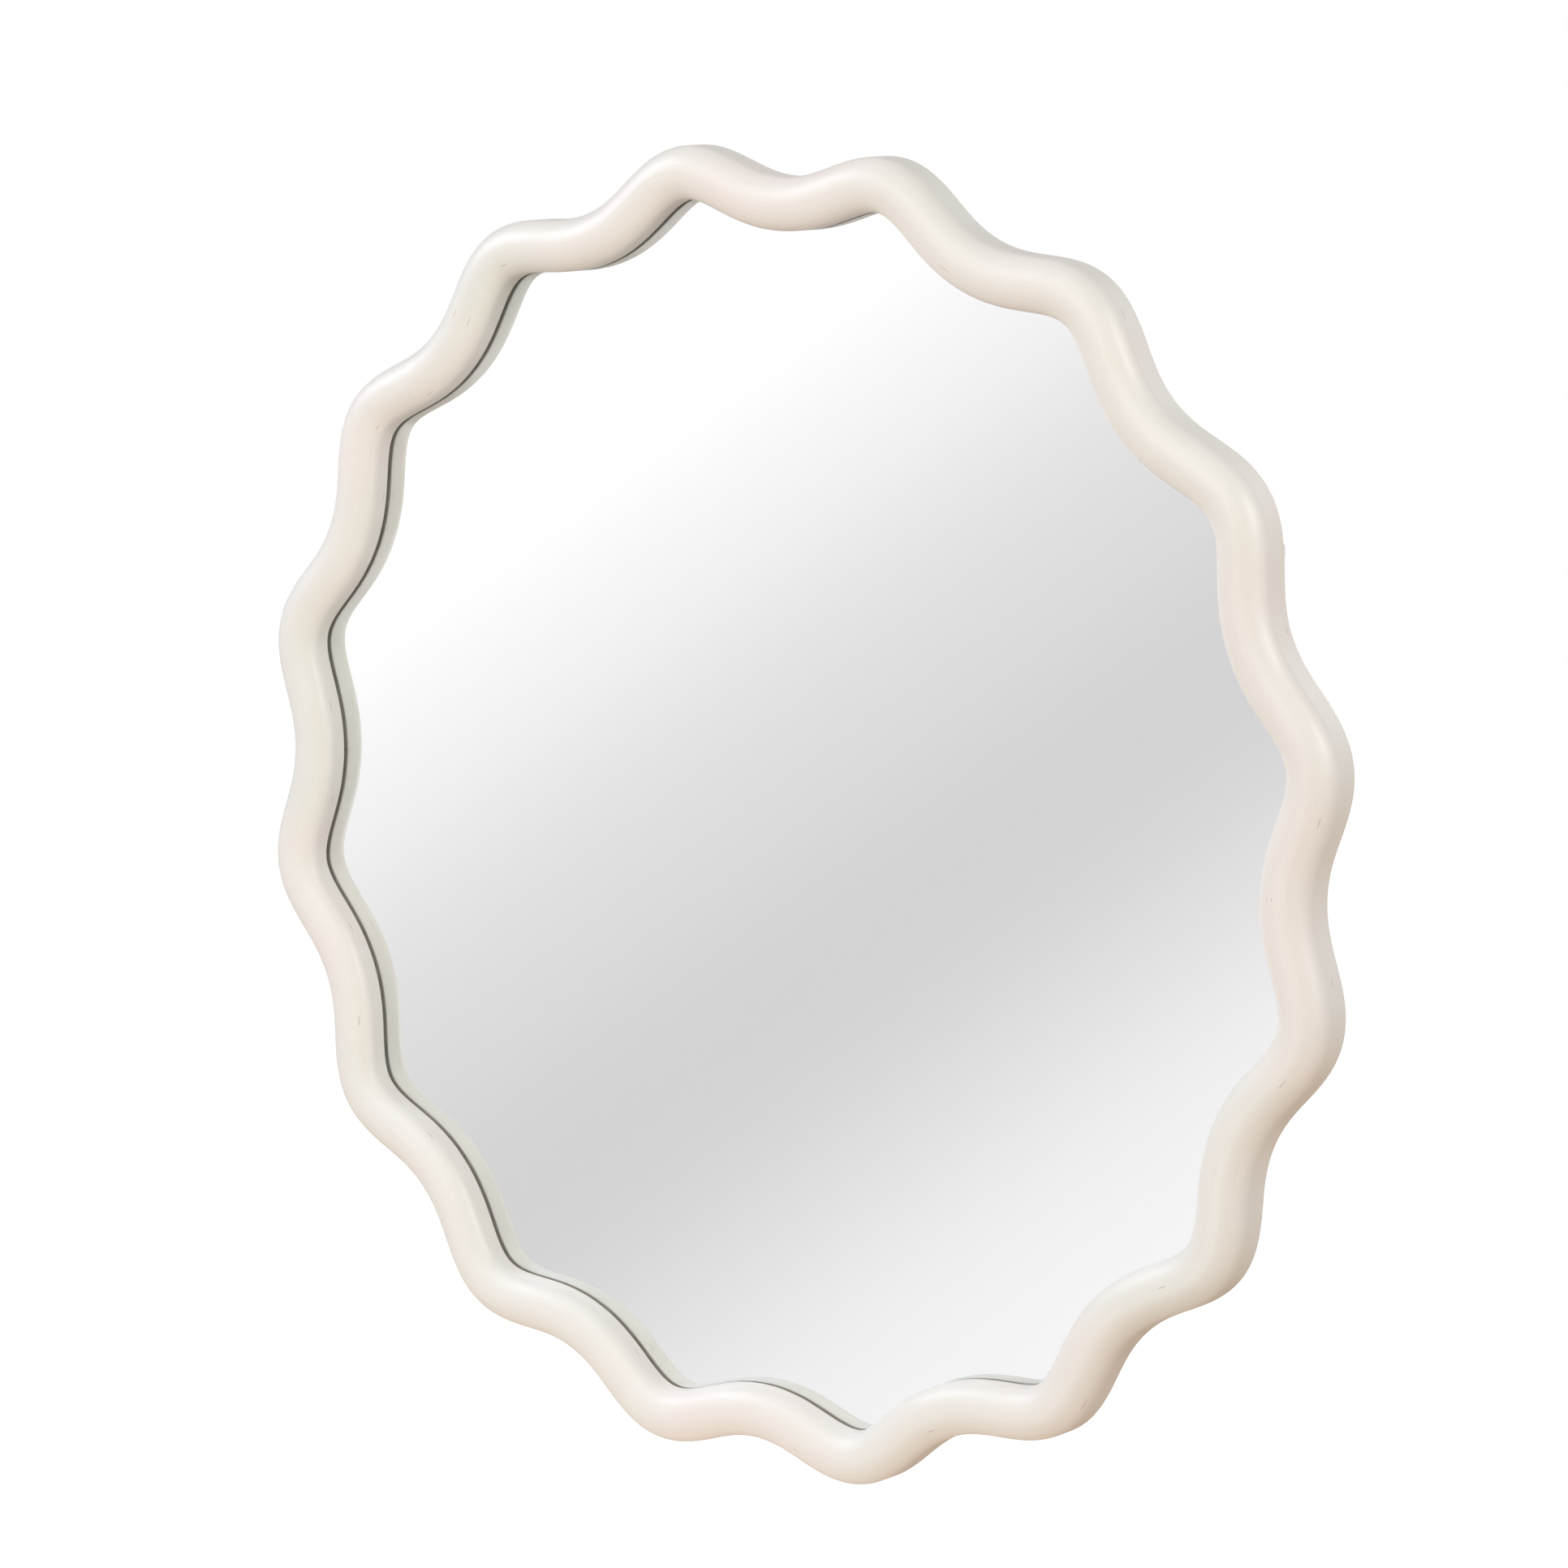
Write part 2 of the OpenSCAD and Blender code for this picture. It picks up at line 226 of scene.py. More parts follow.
def makeCreamLacquer():
    # Brushed and sprayed polyurethane lacquer on sanded wood: a satin sheen with a broad soft highlight, a
    # slow drift between pinkish and greenish cream, partly the coat's uneven tone and partly painted warmer
    # and cooler shade, faint streaks along the moulding from the sanding, and a few hairlines of grain that
    # show through
    made = newMaterial("creamLacquer")
    place = addNode(made, "TexCoord")

    def noiseAt(source, size, detail, low=0, high=1):
        # Noise of a real size, whose values from low to high become 0 to 1
        noise = addNode(made, "TexNoise", {"Scale": 1 / size, "Detail": detail}, Vector=source)
        share = addNode(made, "MapRange", {"From Min": low, "From Max": high}, Value=noise.outputs[0])
        return share.outputs[0]

    def stretched(length, width):
        # The surface's own coordinates in units of a length along the moulding and a width across it
        sized = addNode(made, "Mapping", {"Scale": (1 / length, 1 / width, 1)}, Vector=place.outputs["UV"])
        return sized.outputs[0]

    solid = place.outputs["Object"]
    # The pinkish and greenish drift is partly the lacquer's uneven tone and partly painted warm and cool
    # shade
    moved = addNode(made, "VectorMath", {"operation": "ADD", 1: lacquer["driftPlace"]}, _0=solid).outputs[0]
    tint = addNode(made, "Mix", {"data_type": "RGBA", 6: lacquer["pinkish"], 7: lacquer["greenish"]},
                   _0=noiseAt(moved, lacquer["tintSize"], 1, *lacquer["tintCut"]))
    driftedWithShade = addNode(made, "Mix", {"data_type": "RGBA", 6: lacquer["cream"]},
                      _0=noiseAt(moved, lacquer["driftSize"], 1.5, *lacquer["driftCut"]), _7=tint.outputs[2])
    streaks = noiseAt(stretched(*lacquer["streakSize"]), 1, 2, *lacquer["streakCut"])
    streaked = addNode(made, "Mix", {"data_type": "RGBA", 7: lacquer["streakColour"]}, _0=streaks,
                       _6=driftedWithShade.outputs[2])
    # A mark is the small ellipse round a cell's point, in the few cells whose random value is high
    cells = addNode(made, "TexVoronoi", {"voronoi_dimensions": "2D", "Scale": 1.0},
                    Vector=stretched(*lacquer["markCell"]))
    size = lacquer["markSize"]
    near = addNode(made, "MapRange", {"From Min": size, "From Max": 0.6 * size},
                   Value=cells.outputs["Distance"])
    chance = addNode(made, "SeparateColor", _0=cells.outputs["Color"])
    chosen = addNode(made, "Math", {"operation": "GREATER_THAN", 1: 1 - lacquer["markShare"]},
                     _0=chance.outputs[0])
    marks = addNode(made, "Math", {"operation": "MULTIPLY"}, _0=near.outputs[0], _1=chosen.outputs[0])
    marked = addNode(made, "Mix", {"data_type": "RGBA", 7: lacquer["markColour"]}, _0=marks.outputs[0],
                     _6=streaked.outputs[2])
    waves = addNode(made, "Bump", {"Strength": 1.0, "Distance": lacquer["sandingHeight"]},
                    Height=noiseAt(solid, lacquer["sandingSize"], 1))
    relief = addNode(made, "Bump", {"Strength": 1.0, "Distance": lacquer["peelHeight"]},
                     Height=noiseAt(solid, lacquer["peelSize"], 1), Normal=waves.outputs[0])
    shader = addNode(made, "BsdfPrincipled",
                     {"Roughness": lacquer["roughness"], "IOR": 1.5, "Coat Weight": lacquer["topCoat"],
                      "Coat Roughness": lacquer["topCoatRoughness"]},
                     Base_Color=marked.outputs[2], Normal=relief.outputs[0])
    return finishMaterial(made, shader)


primer = {
    "paint": "#E6DCCB",
    "overGrain": "#D2C0A4",
    "jointColour": "#9C8468",
    "jointWidth": 0.5 * mm,     # of the hairline, on each side
    "grainSize": (40 * mm, 1.6 * mm),
    "grainCut": (0.35, 0.75),
    "grainHeight": 0.05 * mm,
    "roughness": 0.62,
}


def makePrimedBack():
    # Back of the moulding and the lip's face on the glass: wood under one thin coat of paint, so it is flat
    # and the grain shows through, with a hairline where the segments are glued together
    made = newMaterial("primedWoodBack")
    place = addNode(made, "TexCoord")
    parts = addNode(made, "SeparateXYZ", _0=place.outputs["Object"])
    angle = addNode(made, "Math", {"operation": "ARCTAN2"}, _0=parts.outputs[2], _1=parts.outputs[0])
    # A joint lies at each end of a segment, and the angle to the nearest one grows and shrinks between them
    fromJoint = addNode(made, "Math", {"operation": "PINGPONG", 1: math.pi / wave["segments"]},
                        _0=angle.outputs[0])
    joint = addNode(made, "MapRange", {"From Min": primer["jointWidth"] / wave["ringRadius"],
                                       "From Max": 0.3 * primer["jointWidth"] / wave["ringRadius"]},
                    Value=fromJoint.outputs[0])
    length, width = primer["grainSize"]
    stretched = addNode(made, "Mapping", {"Scale": (1 / length, 1 / width, 1)}, Vector=place.outputs["UV"])
    grain = addNode(made, "TexNoise", {"Scale": 1.0, "Detail": 3, "Distortion": 0.3},
                    Vector=stretched.outputs[0])
    low, high = primer["grainCut"]
    grainShare = addNode(made, "MapRange", {"From Min": low, "From Max": high}, Value=grain.outputs[0])
    colour = addNode(made, "Mix", {"data_type": "RGBA", 6: primer["paint"], 7: primer["overGrain"]},
                     _0=grainShare.outputs[0])
    relief = addNode(made, "Bump", {"Strength": 1.0, "Distance": primer["grainHeight"]},
                     Height=grain.outputs[0])
    lined = addNode(made, "Mix", {"data_type": "RGBA", 7: primer["jointColour"]}, _0=joint.outputs[0],
                    _6=colour.outputs[2])
    shader = addNode(made, "BsdfPrincipled", {"Roughness": primer["roughness"], "IOR": 1.5},
                     Base_Color=lined.outputs[2], Normal=relief.outputs[0])
    return finishMaterial(made, shader)


glazing = {"glass": "#F9FDFA", "silver": "#F7F6F7"}


def makeFloatGlass():
    # Clear float glass: flat polished faces and a slight green cast from iron
    made = newMaterial("floatGlass")
    shader = addNode(made, "BsdfPrincipled", {"Base Color": glazing["glass"], "Roughness": 0.0, "IOR": 1.52,
                                              "Transmission Weight": 1.0})
    return finishMaterial(made, shader)


def makeSilvering():
    # Silver laid on the back of the glass: a bright, even, neutral mirror
    made = newMaterial("silvering")
    shader = addNode(made, "BsdfPrincipled",
                     {"Base Color": glazing["silver"], "Metallic": 1.0, "Roughness": 0.0})
    return finishMaterial(made, shader)


fibreboard = {
    "colours": [(0.45, "#5E412B"), (0.7, "#7D5A3D"), (0.95, "#9A7654")],
    "fibreSize": 2.2 * mm,
    "cloudSize": 70 * mm,
    "cloudShare": 0.45,         # of the clouds in the colour
    "fibreShare": 0.5,          # of the fibres in the relief
    "meshPitch": 9.42 * mm,     # drawn coarser than the real 1.5 mm, which is too fine to show
    "reliefHeight": 0.08 * mm,
    "roughness": 0.72,
}


def makeHardboard():
    # Wet-pressed hardboard, its screen side out: brown fibres and the faint print of a wire mesh
    made = newMaterial("hardboard")
    place = addNode(made, "TexCoord")
    fibre = addNode(made, "TexNoise", {"Scale": 1 / fibreboard["fibreSize"], "Detail": 4, "Roughness": 0.65},
                    Vector=place.outputs["Object"])
    cloud = addNode(made, "TexNoise", {"Scale": 1 / fibreboard["cloudSize"], "Detail": 2},
                    Vector=place.outputs["Object"])
    clouded = addNode(made, "Math", {"operation": "MULTIPLY_ADD", 1: fibreboard["cloudShare"]},
                      _0=cloud.outputs[0], _2=fibre.outputs[0])
    colour = addNode(made, "ValToRGB", {"stops": fibreboard["colours"]}, _0=clouded.outputs[0])
    # At a scale of 1, this pattern's bands lie 2 pi / 20 apart
    meshScale = 2 * math.pi / 20 / fibreboard["meshPitch"]
    meshX, meshZ = (addNode(made, "TexWave", {"Scale": meshScale, "bands_direction": direction},
                            Vector=place.outputs["Object"]) for direction in "XZ")
    wires = addNode(made, "Math", {"operation": "MULTIPLY"}, _0=meshX.outputs[1], _1=meshZ.outputs[1])
    height = addNode(made, "Math", {"operation": "MULTIPLY_ADD", 1: fibreboard["fibreShare"]},
                     _0=fibre.outputs[0], _2=wires.outputs[0])
    relief = addNode(made, "Bump", {"Strength": 1.0, "Distance": fibreboard["reliefHeight"]},
                     Height=height.outputs[0])
    shader = addNode(made, "BsdfPrincipled", {"Roughness": fibreboard["roughness"], "IOR": 1.5},
                     Base_Color=colour.outputs[0], Normal=relief.outputs[0])
    return finishMaterial(made, shader)


plating = {
    "shiniest": 0.24,           # roughness of the smoothest crystals, and of the dullest ones
    "dullest": 0.42,
    "crystalCut": (0.3, 0.7),
    "crystalHeight": 0.01 * mm,
}


def makePlatedSteel(name, bright, dull, grainSize):
    # Zinc plating on pressed steel: a grey metal, clouded in colour and shine where the crystals differ
    made = newMaterial(name)
    place = addNode(made, "TexCoord")
    crystals = addNode(made, "TexNoise", {"Scale": 1 / grainSize, "Detail": 2},
                       Vector=place.outputs["Object"])
    colour = addNode(made, "Mix", {"data_type": "RGBA", 6: bright, 7: dull}, _0=crystals.outputs[0])
    low, high = plating["crystalCut"]
    shine = addNode(made, "MapRange", {"From Min": low, "From Max": high, "To Min": plating["shiniest"],
                                       "To Max": plating["dullest"]}, Value=crystals.outputs[0])
    relief = addNode(made, "Bump", {"Strength": 1.0, "Distance": plating["crystalHeight"]},
                     Height=crystals.outputs[0])
    shader = addNode(made, "BsdfPrincipled", {"Metallic": 1.0},
                     Base_Color=colour.outputs[2], Roughness=shine.outputs[0], Normal=relief.outputs[0])
    return finishMaterial(made, shader)


def makeSpeckled(name, light, dark, grainSize, roughness, height):
    # A dull even stuff with a fine grain: rubber's moulded skin, foam's cells
    made = newMaterial(name)
    place = addNode(made, "TexCoord")
    grain = addNode(made, "TexNoise", {"Scale": 1 / grainSize, "Detail": 2}, Vector=place.outputs["Object"])
    colour = addNode(made, "Mix", {"data_type": "RGBA", 6: light, 7: dark}, _0=grain.outputs[0])
    relief = addNode(made, "Bump", {"Strength": 1.0, "Distance": height}, Height=grain.outputs[0])
    shader = addNode(made, "BsdfPrincipled", {"Roughness": roughness, "IOR": 1.5},
                     Base_Color=colour.outputs[2], Normal=relief.outputs[0])
    return finishMaterial(made, shader)


dowelWood = {"pale": "#DDBE91", "flecks": "#B98F5E", "fleckSize": 2 * mm, "roughness": 0.6}


def makeBeech():
    # Turned beech dowel: straight pale grain with short darker flecks
    made = newMaterial("beech")
    place = addNode(made, "TexCoord")
    grain = addNode(made, "TexNoise", {"Scale": 1 / dowelWood["fleckSize"], "Detail": 3, "Distortion": 0.5},
                    Vector=place.outputs["Object"])
    colour = addNode(made, "Mix", {"data_type": "RGBA", 6: dowelWood["pale"], 7: dowelWood["flecks"]},
                     _0=grain.outputs[0])
    shader = addNode(made, "BsdfPrincipled", {"Roughness": dowelWood["roughness"], "IOR": 1.5},
                     Base_Color=colour.outputs[2])
    return finishMaterial(made, shader)


creamLacquer = makeCreamLacquer()
primedBack = makePrimedBack()
floatGlass = makeFloatGlass()
silvering = makeSilvering()
hardboard = makeHardboard()
zincSteel = makePlatedSteel("zincPlatedSteel", "#C9CCD0", "#A4A8AE", 1.6 * mm)
yellowZinc = makePlatedSteel("yellowZincSteel", "#D8C98F", "#B9A36A", 1.1 * mm)
padRubber = makeSpeckled("mouldedRubber", "#3A3A3B", "#2A2A2B", 0.7 * mm, 0.7, 0.02 * mm)
whiteFoam = makeSpeckled("polyethyleneFoam", "#F2F2EF", "#DEDED9", 1.2 * mm, 0.8, 0.1 * mm)
beech = makeBeech()
print("stage: materials made")


# The moulding

moulding = {
    "width": 35.9 * mm,
    "outerRound": 16.8 * mm,   # height of the round on the outer side
    "innerRound": 13 * mm,     # height of the round on the inner side
    "lipWidth": 9 * mm,
    "lipGap": 0.1 * mm,        # between the lip and the face of the glass
    "lipRound": 0.7 * mm,
    "backRound": 1.5 * mm,
    "rabbetRound": 0.5 * mm,
    "edgeHold": 0.4 * mm,      # from a rounding to a row of points that keeps the flat beside it flat
    "primedRise": 0.1 * mm,    # how far up from the back the primer shows
    "lipSlack": 0.01 * mm,     # faces this near to the lip's height are its face on the glass
    "stepsPerLobe": 60,
    "roundSteps": 14,
}
halfWidth = moulding["width"] / 2
rabbetU = moulding["lipWidth"] - halfWidth
bandU = (rabbetU + halfWidth) / 2
lipH = glassFaceH + moulding["lipGap"]


def mouldingProfile():
    # Anticlockwise from the outer back edge: (distance out from the middle line, height above the wall)
    m = moulding
    e, lip, rabbet, hold = m["backRound"], m["lipRound"], m["rabbetRound"], m["edgeHold"]
    return np.concatenate([
        [[halfWidth - e - hold, backH]],
        arc((halfWidth - e, backH + e), (e, e), -90, 0, 5),
        [[halfWidth, backH + e + hold], [halfWidth, crownH - m["outerRound"] - hold]],
        arc((0, crownH - m["outerRound"]), (halfWidth, m["outerRound"]), 0, 90, m["roundSteps"]),
        arc((0, crownH - m["innerRound"]), (halfWidth, m["innerRound"]), 90, 180, m["roundSteps"])[1:],
        [[-halfWidth, crownH - m["innerRound"] - hold], [-halfWidth, lipH + lip + hold]],
        arc((-halfWidth + lip, lipH + lip), (lip, lip), 180, 270, 4),
        [[rabbetU, lipH], [rabbetU, backH + rabbet + hold]],
        arc((rabbetU + rabbet, backH + rabbet), (rabbet, rabbet), 180, 270, 3),
        [[rabbetU + rabbet + hold, backH]],
    ])


def makeMoulding():
    # The profile carried along the wave: each profile point lies its distance out along the wave's normal
    profile = mouldingProfile()
    steps = wave["lobes"] * moulding["stepsPerLobe"]
    angle = np.arange(steps) * 2 * math.pi / steps
    point, out = waveAt(angle)
    plan = point[:, None] + profile[None, :, :1] * out[:, None]
    piece = gridPiece("mouldingSkin", onWall(plan, profile[None, :, 1]), creamLacquer, closeRows=True,
                      rowUv=lengthsAlong(point, closed=True), colUv=lengthsAlong(profile, closed=True))
    piece.data.materials.append(primedBack)
    centres = np.zeros(len(piece.data.polygons) * 3)
    piece.data.polygons.foreach_get("center", centres)
    height = -centres.reshape(-1, 3)[:, 1]
    onLip = np.abs(height - lipH) < moulding["lipSlack"]
    primed = (height < backH + moulding["primedRise"]) | onLip
    piece.data.polygons.foreach_set("material_index", primed.astype(np.int32))
    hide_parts(*["frame_segment_%d" % (i + 1) for i in range(wave["segments"])])
    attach(piece, "mirror")


makeMoulding()
print("stage: moulding made")


# The mirror

mirror = {
    "edgeGap": 1 * mm,         # between the glass and the rabbet's wall
    "intoGlass": 0.05 * mm,    # the silver's face lies this far inside the glass, so that no air is between
    "stepsPerLobe": 28,
}


def makeSilverCoat():
    # A flat sheet with the glass's scalloped outline: rings of points from the centre line out to the edge,
    # on the face, down the edge and back on the other side
    steps = wave["lobes"] * mirror["stepsPerLobe"]
    point, out = waveAt(np.arange(steps) * 2 * math.pi / steps)
    outline = point + (rabbetU - mirror["edgeGap"]) * out
    shares = np.array([0, 0.5, 1, 1, 0.5, 0])
    heights = np.repeat([glassBackH + mirror["intoGlass"], silverBackH], 3)
    rings = onWall(outline[None] * shares[:, None, None], heights[:, None])
    piece = gridPiece("silverCoat", rings, silvering)
    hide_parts("silver_coat")
    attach(piece, "mirror")


makeSilverCoat()
for node, material in {"mirror_glass": floatGlass, "foam_sheet": whiteFoam, "backing_board": hardboard,
                       "frame_dowels": beech}.items():
    for materialSlot in frame["nodes"][node].material_slots:
        materialSlot.material = material
print("stage: mirror made")


# Screws

screw = {
    "diameter": 3.5 * mm,
    "length": 16 * mm,
    "headDiameter": 7.5 * mm,
    "headHeight": 2.2 * mm,
    "crossLength": 4.2 * mm,
    "crossWidth": 1.1 * mm,
    "crossDepth": 1.2 * mm,
    "crossSlope": 0.12 * mm,   # softness of the cross's walls
    "pitch": 1.4 * mm,
    "threadDepth": 0.45 * mm,
    "deepestCut": 0.6,         # of the radius, where the point is too thin for the thread's depth
    "pointLength": 5 * mm,
    "rimRound": 0.15 * mm,     # under the head
    "ridgeSharpness": 1.6,
    "columns": 64,
    "headSteps": 20,
    "threadSteps": 84,
    "sharpDeg": 50,
}


def screwGrid(seatH, turn):
    # A surface of revolution: domed head, its flat underside, then a shank whose radius swells along a
    # helix, r = core + depth * ridge(height / pitch - angle / turn). The cross lowers the head where |x| or
    # |y| is small.
    s = screw
    angle = np.arange(s["columns"]) * 2 * math.pi / s["columns"]
    t = np.radians(np.linspace(90, 0, s["headSteps"]))
    head = np.stack([s["headDiameter"] / 2 * np.cos(t), seatH - s["headHeight"] / 2 * (1 + np.sin(t))], -1)
    under = np.array([[s["headDiameter"] / 2, seatH - s["rimRound"]],
                      [s["headDiameter"] / 2 - s["rimRound"], seatH]])
    shankH = np.linspace(0, s["length"], s["threadSteps"])
    narrowing = np.clip((s["length"] - shankH) / s["pointLength"], 0, 1)
    outer = s["diameter"] / 2 * narrowing
    profile = np.concatenate([head, under, np.stack([outer, seatH + shankH], -1)])
    radius = np.repeat(profile[:, :1], s["columns"], 1)
    height = np.repeat(profile[:, 1:], s["columns"], 1)
    shank = len(head) + len(under)
    phase = ((height[shank:] - seatH) / s["pitch"] - angle[None] / (2 * math.pi)) % 1
    ridge = np.clip(1 - np.abs(2 * phase - 1) * s["ridgeSharpness"], 0, 1)
    radius[shank:] -= np.minimum(s["threadDepth"], s["deepestCut"] * radius[shank:]) * (1 - ridge)
    x, y = radius * np.cos(angle), radius * np.sin(angle)

    def slotShare(along, across):
        far = np.clip((s["crossLength"] / 2 - np.abs(along)) / s["crossSlope"] + 0.5, 0, 1)
        near = np.clip((s["crossWidth"] / 2 - np.abs(across)) / s["crossSlope"] + 0.5, 0, 1)
        return far * near

    turned = angle + turn
    crossX, crossY = radius * np.cos(turned), radius * np.sin(turned)
    cross = np.maximum(slotShare(crossX, crossY), slotShare(crossY, crossX))
    cross[len(head):] = 0
    return np.stack([x, y, height + s["crossDepth"] * cross], -1)


clip = {
    "width": 14 * mm,
    "thickness": 1.2 * mm,
    "reach": 10 * mm,          # over the board
    "hold": 7 * mm,            # past the middle of its screw
    "gap": 1 * mm,             # between its step and the rabbet's wall
    "edgeRound": 0.25 * mm,
    "cornerRound": 2.5 * mm,
    "stepRun": 3.2 * mm,       # length over which it steps down to the board
    "screwTurn": 0.7,          # radians from one clip's screw to the next one's
}
clipAngles = [(i + 0.5) * 2 * math.pi / wave["segments"] for i in range(wave["segments"])]


def makeClipScrews():
    grids = [atWave(screwGrid(backH - clip["thickness"], clip["screwTurn"] * i) + [bandU, 0, 0], a)
             for i, a in enumerate(clipAngles)]
    piece = gridPiece("clipScrews", np.stack(grids), yellowZinc, sharpDeg=screw["sharpDeg"])
    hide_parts("clip_screws")
    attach(piece, "mirror")


makeClipScrews()


# Sheet-metal strips: the clips and the straps

def roundedSection(width, thickness, edgeRound):
    # Perimeter of a strip's section, anticlockwise: (through the thickness, across the width)
    a, b, r = thickness / 2 - edgeRound, width / 2 - edgeRound, (edgeRound, edgeRound)
    hold = 2 * edgeRound
    return np.concatenate([
        [[thickness / 2, b - hold]],
        arc((a, b), r, 0, 90, 3),
        arc((-a, b), r, 90, 180, 3),
        [[-thickness / 2, b - hold], [-thickness / 2, hold - b]],
        arc((-a, -b), r, 180, 270, 3),
        arc((a, -b), r, 270, 360, 3),
        [[thickness / 2, hold - b]],
    ])


def strip(path, section, widths):
    # The section carried along a path in a plane: a point lies through the thickness along the path's normal
    # and across it by its width share. Both ends close on their middle.
    run = np.gradient(path, axis=0)
    run /= np.linalg.norm(run, axis=-1)[:, None]
    normal = np.stack([-run[:, 1], run[:, 0]], -1)
    through, across = section[:, 0], section[:, 1]
    plane = path[:, None] + through[None, :, None] * normal[:, None]
    sideways = widths[:, None] * across[None]
    rows = np.concatenate([plane, sideways[..., None]], -1)
    ends = [np.repeat(np.append(path[i], 0)[None, None], len(section), 1) for i in (0, -1)]
    return np.concatenate([ends[0], rows, ends[1]])


def endShares(path, halfWidth, radius):
    # Share of the full width near the ends, whose corners are rounded in plan:
    # w = W - r + sqrt(r² - (r - t)²)
    along = lengthsAlong(path)
    t = np.minimum(np.minimum(along, along[-1] - along), radius)
    return (halfWidth - radius + np.sqrt(radius ** 2 - (radius - t) ** 2)) / halfWidth


def easedEnds(radius, steps):
    # Distances from a strip's end that lie close together where its corner turns
    return radius * (1 - np.cos(np.linspace(0, math.pi / 2, steps)))


def makeClip(index):
    # Mid-line of the clip across the step: board leg, eased step, frame leg
    c = clip
    stepU = rabbetU - c["gap"] - c["thickness"] / 2
    start, end = rabbetU - c["gap"] - c["reach"], bandU + c["hold"]
    ease = easedEnds(c["cornerRound"], 7)
    u = np.concatenate([start + ease, np.linspace(stepU - c["stepRun"] / 2, stepU + c["stepRun"] / 2, 17),
                        end - ease[::-1]])
    share = np.clip((u - stepU) / c["stepRun"] + 0.5, 0, 1)
    share = share ** 2 * (3 - 2 * share)
    height = boardH + (backH - boardH) * share - c["thickness"] / 2
    path = np.stack([u, height], -1)
    rows = strip(path, roundedSection(c["width"], c["thickness"], c["edgeRound"]),
                 endShares(path, c["width"] / 2, c["cornerRound"]))
    local = rows[..., [0, 2, 1]]
    piece = gridPiece("retainerClip%d" % (index + 1), atWave(local, clipAngles[index]), zincSteel)
    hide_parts("retainer_clip_%d" % (index + 1))
    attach(piece, "mirror")


for index in range(wave["segments"]):
    makeClip(index)
print("stage: clips and screws made")


# Hangers

hanger = {
    "strapWidth": 14 * mm,
    "leaf": 1.2 * mm,          # thickness of the strip, folded double round the ring's bar
    "wireRadius": 1.5 * mm,
    "eyeGap": 0.08 * mm,       # round the bar in its eye
    "loopSide": 2 * mm,        # between the strap's edge and the ring's leg
    "loopHeight": 18 * mm,     # from the eye's axis to the inside of the ring's top
    "barPlay": 0.5 * mm,       # of straight bar past each edge of the strap
    "restGap": 0.3 * mm,       # between the ring's top and the frame's back
    "ringRoom": 3 * mm,        # between the folded ring and the lower screw's head
    "edgeRound": 0.25 * mm,
    "foldRadius": 1.2 * mm,    # of the bend where the second leaf leaves the eye
    "innerRun": 6 * mm,        # from the eye's axis down to the top of the inner leaf's flat
    "outerRun": 8 * mm,        # and to the top of the outer leaf's
    "barRun": 4 * mm,          # of straight bar on each side of its middle
    "wireColumns": 24,
    "screwTurns": {"left": (0.2, 1.1), "right": (0.6, 0.9)},   # in radians, of the upper and the lower screw
}
eyeRadius = hanger["wireRadius"] + hanger["eyeGap"]
barrelRadius = eyeRadius + hanger["leaf"]
upperScrewY = -(barrelRadius + hanger["loopHeight"]) / 2
lowerScrewY = -(hanger["loopHeight"] + 2 * hanger["wireRadius"] + hanger["ringRoom"]
                + screw["headDiameter"] / 2)
hinges = {joint["name"]: joint["pos_m"] for joint in frame["joints"]}


def atHinge(points, side):
    # Local points (across, up from the eye's axis, height above the wall) at the left or right hanger
    x, y, z = hinges["ring_%s_hinge" % side]
    return onWall(points[..., :2] + np.array([x, z]), points[..., 2])


def strapPath():
    # (up, height above the wall): up the leaf on the frame, round the eye, and down the other leaf
    h = hanger
    eyeH = backH - barrelRadius
    mid = eyeRadius + h["leaf"] / 2
    innerH, outerH = backH - h["leaf"] / 2, backH - 1.5 * h["leaf"]
    foldH = outerH - h["foldRadius"]
    foldY = -math.sqrt((mid + h["foldRadius"]) ** 2 - (foldH - eyeH) ** 2)
    turnDeg = math.degrees(math.atan2(foldH - eyeH, foldY))
    bottom = lowerScrewY - h["strapWidth"] / 2
    ease = easedEnds(h["strapWidth"] / 2, 10)
    up = np.stack([bottom + ease, np.full(len(ease), innerH)], -1)
    wrap = arc((0, eyeH), (mid, mid), 90, turnDeg % 360 - 360, 30)
    fold = arc((foldY, foldH), (h["foldRadius"], h["foldRadius"]), turnDeg % 360 - 180, 90, 8)[1:]
    down = np.stack([bottom + ease[::-1], np.full(len(ease), outerH)], -1)
    return np.concatenate([up, [[-h["innerRun"], innerH]], wrap, fold, [[-h["outerRun"], outerH]], down])


def makeStrap(side):
    path = strapPath()
    rows = strip(path, roundedSection(hanger["strapWidth"], hanger["leaf"], hanger["edgeRound"]),
                 endShares(path, hanger["strapWidth"] / 2, hanger["strapWidth"] / 2))
    local = rows[..., [2, 0, 1]]
    piece = gridPiece("hangerStrap%s" % side.title(), atHinge(local, side), zincSteel)
    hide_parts("hanger_strap_" + side)
    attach(piece, "mirror")


